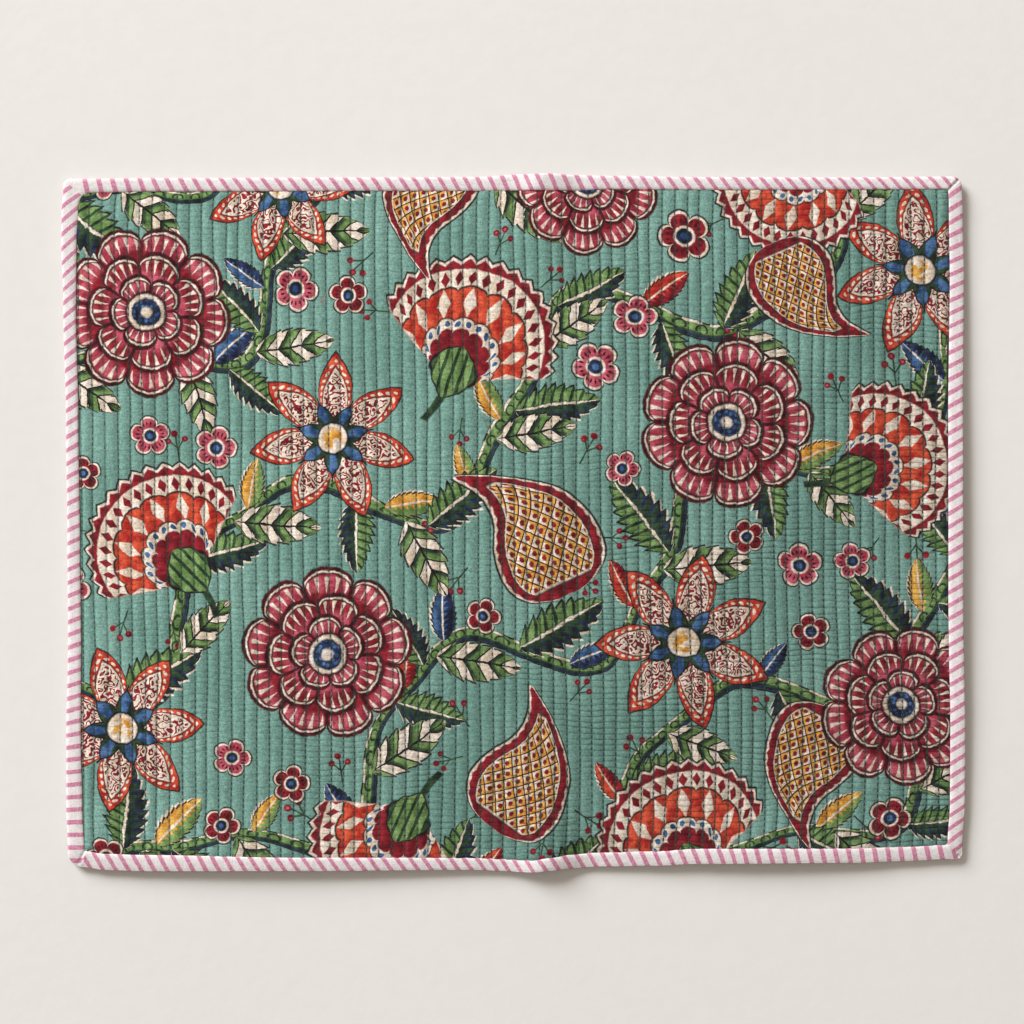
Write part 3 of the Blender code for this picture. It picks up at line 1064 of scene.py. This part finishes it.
def threadMaterial():
    material, shader, place = newMaterial("thread")
    _, y, _ = place.parts()
    twist = (y * stitching["twistsPerMetre"] + noiseAt(place, 300.0, 1.0) * 2).fract()
    feed(shader, {
        "Base Color": mixColour(noiseAt(place, 60.0), *stitching["thread"]),
        "Roughness": 0.62,
        "Normal": bumped(place, abs(twist - 0.5) * stitching["twistHeight"]),
    })
    return material


def makeStitches():
    first, last = stitchEnds()
    corners, faces = stitchTemplate()
    slopeX, slopeY, middle = cotton["nearRight"]
    pull = smoothStep((first[:, :1] * slopeX + first[:, 1:2] * slopeY) * mm + middle, 0.0, 1.0)
    thick = stitching["thick"] * (0.85 + pull)  # the stitches spread where the cloth is drawn up
    along = last - first
    long = np.linalg.norm(along, axis=1, keepdims=True)
    along = along / long
    across = np.cross(along, (0.0, 0.0, 1.0))
    up = np.cross(across, along)
    centre = (first + last) / 2 + (0, 0, stitching["rise"])
    spots = (
        centre[:, None]
        + corners[None, :, 0:1] * thick[:, None] * across[:, None]
        + corners[None, :, 2:3] * long[:, None] * along[:, None]
        + corners[None, :, 1:2] * stitching["tall"] * up[:, None]
    )
    mesh = bpy.data.meshes.new("stitches")
    size = len(corners)
    every = [[index + size * number for index in face] for number in range(len(spots)) for face in faces]
    mesh.from_pydata((spots.reshape(-1, 3) * mm).tolist(), [], every)
    mesh.polygons.foreach_set("use_smooth", [True] * len(mesh.polygons))
    reach = np.array([mat["halfWidth"], mat["halfDepth"]])
    writeUv(mesh, "OFBake", 0.5 + 0.49 * (spots.reshape(-1, 3)[:, :2] / reach)[loopVerts(mesh)])
    mesh.materials.append(threadMaterial())
    print("stitches:", len(spots))
    return addPiece("stitches", mesh)


stitches = makeStitches()
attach(stitches, "root")


# The bound edge: one bias strip round the rim. Sizes in millimetres, slants in degrees.
bound = {
    "stationStep": 1.5,
    "cornerStations": 12,
    # corners, anticlockwise: which way from the middle, first angle, the side before and the side after,
    # outer and inner radius, and how much of the corner goes with the side before
    "corners": [
        (1, -1, -90, "near", "right", 3.4, 1.5, 0.5),
        (1, 1, 0, "right", "far", 5.0, 1.5, 0.5),
        (-1, 1, 90, "far", "left", 3.6, 6.5, 0.5),
        (-1, -1, 180, "left", "near", 8.0, 1.5, 0.85),
    ],
    "cornerReach": 9.0,  # how far from the rim the folds and the droop of the edge reach
    # which way from the middle, how deep the crease of the folded corner is, how far round it is turned
    "mitres": [(1, -1, 0.15, 0.0), (1, 1, 0.70, 0.0), (-1, 1, 0.20, 0.0), (-1, -1, 0.55, 4.3)],
    # across the strip from the outer edge (0) to the inner (1), and height; over the top, round and under
    "section": [
        (1.00, 2.66), (1.0, 2.80), (0.985, 2.94), (0.95, 3.12), (0.88, 3.33), (0.72, 3.46), (0.5, 3.52),
        (0.28, 3.50), (0.13, 3.40), (0.05, 3.16), (0.012, 2.75), (0.0, 2.05), (0.012, 1.30),
        (0.05, 0.66), (0.15, 0.22), (0.25, 0.03), (0.5, 0.0), (0.9, 0.0), (1.0, 0.05),
        (1.0, 0.85), (0.24, 0.95), (0.20, 1.30), (0.20, 2.35), (0.24, 2.56),
    ],
    "outermost": 11,  # which of those rows is the outer edge
    "middle": 6,  # and which the middle of the top
    # place along the side, number of the stripe there, slant in degrees
    "near": [
        (-232, -1, 32), (-219, 1, 31), (-159.1, 10, 27), (-132.7, 14, 33), (-92.3, 20, 36), (-17.4, 31, 35),
        (1.2, 34, 33), (39.4, 40, 28), (72.5, 45, 24), (104.9, 50, 20), (116.9, 52, 15), (150.1, 57, 14),
        (190, 63, 9), (216.9, 67, 14), (232, 69.2, 14),
    ],
    "far": [
        (-232, 0.5, 12), (-220, 0.5, 12), (-216.2, 1, 12), (-195, 4, 17), (-173.9, 7, 26), (-138.7, 12, 37),
        (-110.5, 16, 38), (-54.7, 24, 33), (-28.8, 28, 28), (2.4, 33, 22), (14, 35, 25), (20.9, 36, 22),
        (54.2, 41, 31), (94.8, 47, 36), (148.8, 55, 41), (207.8, 64, 42), (232, 67.7, 36),
    ],
    "left": [
        (-180, -2.1, 0), (-165.8, 0, 0), (-127.2, 6, 6), (-88.9, 12, 17), (-49.5, 18, 21), (-2.4, 25, 25),
        (45.6, 32, 30), (72.8, 36, 35), (93.9, 39, 38), (136.2, 45, 43), (158.1, 48, 41), (180, 51.1, 30),
    ],
    "right": [
        (-180, -1.3, 38), (-171.2, 0, 38), (-150.9, 3, 35), (-111.1, 9, 31), (-56.6, 17, 30), (-2.4, 25, 32),
        (52.5, 33, 30), (93.8, 39, 26), (140.3, 46, 24), (161, 49, 33), (180, 51.6, 39),
    ],
    "roll": {"near": 0.85, "right": 0.6},  # how far the outer edge of these sides droops
    "joinAt": 17.7,
    "joinLean": 0.30,
    "joinLap": 0.42,
    "pucker": 0.10,
    "puckerWaves": [(9.3, 0.6), (5.1, 0.4), (31, 0.7)],
    "usualWidth": 7.0,
    "stripeShare": 0.36,
    "pale": (ink(221, 215, 214), ink(247, 242, 241)),
    "pink": (ink(188, 112, 142), ink(220, 150, 176)),
    "fringe": ink(248, 214, 226),  # where the pink has crept into the white
    # painted shade for the strip's outer edge and underside
    "paintedEdgeShade": ink(150, 132, 132),
    "threadHeight": 0.00010,
    "stripeHeight": 0.00005,
    "unevenHeight": 0.00020,
    "seed": 11,
}

sides = ("near", "right", "far", "left")


def sideRun(side, x, y):  # how far along a side, and how far in from its outer line
    if side in ("near", "far"):
        return x, mat["halfDepth"] + (y if side == "near" else -y)
    return y, mat["halfWidth"] + (x if side == "left" else -x)


def stripeCount(side, along, inward):  # the running number of stripes at a place on the strip
    table = np.array(bound[side], float)

    def numberAt(where):
        return np.interp(where, table[:, 0], table[:, 1])

    perMillimetre = (numberAt(along + 3) - numberAt(along - 3)) / 6
    slant = np.tan(np.radians(eased(bound[side], along, 2)))
    lean = -1 if side in ("far", "left") else 1
    return numberAt(along) + lean * slant * (inward - eased(mat[side], along, 2) / 2) * perMillimetre


def cornerArc(signX, signY, bandX, bandY, radius, first):
    angles = np.radians(first + np.linspace(0, 90, bound["cornerStations"] + 1))
    x = signX * (mat["halfWidth"] - bandX - radius) + radius * np.cos(angles)
    y = signY * (mat["halfDepth"] - bandY - radius) + radius * np.sin(angles)
    return np.stack([x, y], axis=-1)


def boundOutline():  # outer and inner points of each station, anticlockwise from the near right corner
    arcs = []
    for signX, signY, first, _, _, radius, innerRadius, _ in bound["corners"]:
        bandX = eased(mat["right" if signX > 0 else "left"], np.array([signY * 170.0]), 2)[0]
        bandY = eased(mat["far" if signY > 0 else "near"], np.array([signX * 222.0]), 2)[0]
        outer = cornerArc(signX, signY, 0, 0, radius, first)
        arcs.append((outer, cornerArc(signX, signY, bandX, bandY, innerRadius, first)))
    outers, inners, faceSides = [], [], []
    for index, (outer, inner) in enumerate(arcs):
        before, after, _, _, split = bound["corners"][index][3:]
        shared = round(bound["cornerStations"] * split)
        nextOuter, nextInner = arcs[(index + 1) % len(arcs)]
        steps = int(np.linalg.norm(nextOuter[0] - outer[-1]) / bound["stationStep"])
        share = np.linspace(0, 1, steps + 1)[1:-1, None]
        line = inner[-1] + (nextInner[0] - inner[-1]) * share
        outers += [outer, outer[-1] + (nextOuter[0] - outer[-1]) * share]
        inners += [inner, narrowed(after, line)]
        faceSides += [before] * shared + [after] * (bound["cornerStations"] - shared + steps)
    outers, inners = np.concatenate(outers), np.concatenate(inners)
    return np.vstack([outers, outers[:1]]), np.vstack([inners, inners[:1]]), faceSides


def narrowed(side, line):  # the inner edge moved to the strip's width at each place
    line = line.copy()
    along, across = (0, 1) if side in ("near", "far") else (1, 0)
    half = mat["halfDepth" if across else "halfWidth"]
    line[:, across] = (half - eased(mat[side], line[:, along], 2)) * (1 if side in ("far", "right") else -1)
    return line


def boundHeights(x, y, height):  # creases, puckers and the lapped join, on the top of the strip
    rng = np.random.default_rng(bound["seed"])
    reach = bound["cornerReach"]
    onTop = smoothStep(height, 2.2, 3.3)
    lift = bound["pucker"] * waves(x + y + 0.8 * (x - y), rng, bound["puckerWaves"])
    cornerX = mat["halfWidth"] - np.abs(x)
    cornerY = mat["halfDepth"] - np.abs(y)
    lift = lift - bound["roll"]["near"] * smoothStep(reach - mat["halfDepth"] - y, 0.0, reach)
    lift = lift - bound["roll"]["right"] * smoothStep(reach - mat["halfWidth"] + x, 0.0, reach)
    for signX, signY, depth, turn in bound["mitres"]:
        here = (signX * x > 0) & (signY * y > 0) & (cornerX < reach) & (cornerY < reach)
        off = cornerX - turn - (1 - turn / reach) * cornerY
        lift = lift + here * depth * (0.3 * np.exp(-(((off - 1.6) / 1.5) ** 2)) - np.exp(-((off / 0.7) ** 2)))
    beforeJoin = bound["joinAt"] - x - bound["joinLean"] * cornerY
    lap = smoothStep(beforeJoin, -0.1, 0.35) * (1 - smoothStep(beforeJoin, 5.0, 11.0))
    lift = lift + bound["joinLap"] * lap * (y > 0) * (cornerY < 12)
    return height + lift * onTop


def stripSection(outers, inners):  # x, y and height of every station and row of the strip
    rows = np.array(bound["section"])
    plan = outers[:, None] + (inners - outers)[:, None] * rows[None, :, :1]
    return plan[..., 0], plan[..., 1], np.broadcast_to(rows[:, 1], plan.shape[:2])


def stripGrid(stationCount, rowCount):  # a plain grid, to be wrapped round the rim
    bm = bmesh.new()
    bmesh.ops.create_grid(bm, x_segments=stationCount, y_segments=rowCount, size=1.0)
    for face in bm.faces:
        face.smooth = True
    mesh = bpy.data.meshes.new("binding")
    bm.to_mesh(mesh)
    bm.free()
    return mesh


def unrolledRows():  # cloth from the outer edge to each row, and how much more it is than seen from above
    section = np.array(bound["section"]) * (bound["usualWidth"], 1.0)
    around = np.diff(section, axis=0)
    run = np.concatenate([[0.0], np.cumsum(np.hypot(around[:, 0], around[:, 1]))])
    unrolled = run[bound["outermost"]] - run  # over the top, and negative underneath
    return unrolled, np.abs(unrolled) - section[:, 0]


def markStripes(mesh, x, y, station, rowAt, faceSides):  # runs of the stripes, and the bake's own layout
    stationCount, rowCount = x.shape[0] - 1, x.shape[1]
    unrolled, extra = unrolledRows()
    verts = loopVerts(mesh)
    loopFace = np.repeat(np.arange(len(mesh.polygons)), 4)
    faceStation = np.full(len(mesh.polygons), stationCount)
    np.minimum.at(faceStation, loopFace, station[verts])
    loopSide = np.array([sides.index(name) for name in faceSides])[faceStation[loopFace]]
    stripes, baked = np.zeros((len(verts), 2)), np.zeros((len(verts), 2))
    for index, side in enumerate(sides):
        mine = loopSide == index
        vert = verts[mine]
        row = rowAt[vert] % rowCount
        at = (station[vert] % stationCount, row)
        along, inward = sideRun(side, x[at], y[at])
        inward = (inward + extra[row]) * np.sign(unrolled[row]) - extra[bound["middle"]]
        stripes[mine] = np.stack([stripeCount(side, along, inward), inward], axis=-1)
        reach = mat["halfWidth"] if side in ("near", "far") else mat["halfDepth"]
        up = (index + 0.02 + 0.96 * rowAt[vert] / rowCount) / len(sides)
        baked[mine] = np.stack([0.5 + 0.49 * along / reach, up], axis=-1)
    writeUv(mesh, "stripeRun", stripes)
    writeUv(mesh, "OFBake", baked)


def closeStrip(mesh):  # joins the strip's ends and its long edges
    bm = bmesh.new()
    bm.from_mesh(mesh)
    bmesh.ops.remove_doubles(bm, verts=bm.verts, dist=1e-6)
    bmesh.ops.recalc_face_normals(bm, faces=bm.faces)
    bm.to_mesh(mesh)
    print("binding:", len(bm.faces), "faces, open edges", sum(not edge.is_manifold for edge in bm.edges))
    bm.free()


def makeBinding():
    outers, inners, faceSides = boundOutline()
    x, y, height = stripSection(outers, inners)
    stationCount, rowCount = x.shape[0] - 1, x.shape[1]
    mesh = stripGrid(stationCount, rowCount)
    flat = readCo(mesh)
    station = np.rint((flat[:, 0] + 1) / 2 * stationCount).astype(int)
    rowAt = np.rint((flat[:, 1] + 1) / 2 * rowCount).astype(int)
    markStripes(mesh, x, y, station, rowAt, faceSides)
    placed = settle(x, y, boundHeights(x, y, height)) * mm
    writeCo(mesh, placed[station % stationCount, rowAt % rowCount])
    closeStrip(mesh)
    mesh.materials.append(bindingCotton())
    return addPiece("stripedBinding", mesh)


def bindingCotton():
    material, shader, place = newMaterial("bindingCotton")
    strip = place.make("ShaderNodeUVMap", {"uv_map": "stripeRun"})
    number, depth, _ = strip.parts()
    number = number + (noiseAt(place, 420.0) - 0.5) * 0.07
    away = abs((number + 0.5).fract() - 0.5)
    uneven = noiseAt(place, 70.0).ramp(0.3, 0.7, -0.012, 0.012)
    stripe = away.under(bound["stripeShare"] / 2 + uneven, 0.035)
    threads = weave(place, 330.0, 7.0)
    slub = threads.ramp(0.7, 1.3) * 0.5 + noiseAt(place, 900.0).ramp(0.35, 0.65) * 0.5
    pale = mixColour(slub, *bound["pale"])
    pale = mixColour(away.ramp(0.20, 0.34, 0.40, 0.0), pale, bound["fringe"])
    pink = mixColour(slub, *bound["pink"])
    colour = mixColour(stripe * slub.ramp(0.0, 1.0, 1.0, 0.88), pale, pink)
    height = threads * bound["threadHeight"] + stripe * bound["stripeHeight"]
    feed(shader, {
        # painted shade: the strip darkens over its outer edge and underneath
        "Base Color": mixColour(depth.ramp(-1.1, 0.3, 0.60, 0.0), colour, bound["paintedEdgeShade"]),
        "Roughness": slub.ramp(0.0, 1.0, 0.92, 0.80),
        "Sheen Weight": cotton["sheen"],
        "Specular IOR Level": cotton["shine"],
        "Normal": bumped(place, height + noiseAt(place, 160.0, 1.0) * bound["unevenHeight"]),
    })
    return material


binding = makeBinding()
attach(binding, "root")
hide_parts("binding")


# The table it lies on, the light and the camera. Sizes in metres.
studio = {
    "tableSize": 6.0,
    "tableTop": -0.0003,
    "table": (ink(238, 236, 232), ink(234, 232, 227)),
    "lens": 100.0,
    "sensor": 36.0,
    "frameWidth": 0.5165,
    "look": (-0.00055, 0.0055),
    "keyPlace": (-5.5, 6.1, 3.92),
    "keySize": 4.6,
    "keyPower": 1289.0,
    "keyColour": (0.955, 0.975, 1.0),
    "sky": (1.0, 0.905, 0.80, 1.0),
    "skyLevel": 0.36,
}


def tableMaterial():
    material, shader, place = newMaterial("paleTable")
    cloudy = noiseAt(place, 2.2).ramp(0.3, 0.7)
    grain = noiseAt(place, 90.0).ramp(0.3, 0.7)
    feed(shader, {
        "Base Color": mixColour(cloudy * 0.5 + grain * 0.3, *studio["table"]),
        "Roughness": grain.ramp(0.0, 1.0, 0.80, 0.92),
        "Specular IOR Level": 0.2,
        "Normal": bumped(place, grain * 0.00003),
    })
    return material


def makeTable():
    bm = bmesh.new()
    bmesh.ops.create_grid(bm, x_segments=1, y_segments=1, size=studio["tableSize"] / 2)
    bmesh.ops.translate(bm, verts=bm.verts, vec=(0, 0, studio["tableTop"]))
    mesh = bpy.data.meshes.new("table")
    bm.to_mesh(mesh)
    bm.free()
    mesh.materials.append(tableMaterial())
    table = addPiece("table", mesh)


def makeStudio():
    scene = bpy.context.scene
    camera = bpy.data.cameras.new("camera")
    camera.lens = studio["lens"]
    camera.sensor_width = studio["sensor"]
    camera.clip_end = 20.0
    eye = addPiece("camera", camera)
    eye.location = (*studio["look"], 0.003 + studio["frameWidth"] * studio["lens"] / studio["sensor"])
    scene.camera = eye
    lamp = bpy.data.lights.new("key", "AREA")
    lamp.size = studio["keySize"]
    lamp.energy = studio["keyPower"]
    lamp.color = studio["keyColour"]
    key = addPiece("key", lamp)
    key.location = studio["keyPlace"]
    key.rotation_euler = (-key.location).to_track_quat("-Z", "Y").to_euler()
    world = bpy.data.worlds.new("studio")
    world.use_nodes = True
    sky = world.node_tree.nodes["Background"]
    sky.inputs["Color"].default_value = studio["sky"]
    sky.inputs["Strength"].default_value = studio["skyLevel"]
    scene.world = world
    scene.view_settings.view_transform = "Standard"


makeTable()
makeStudio()
print("table, light and camera placed")
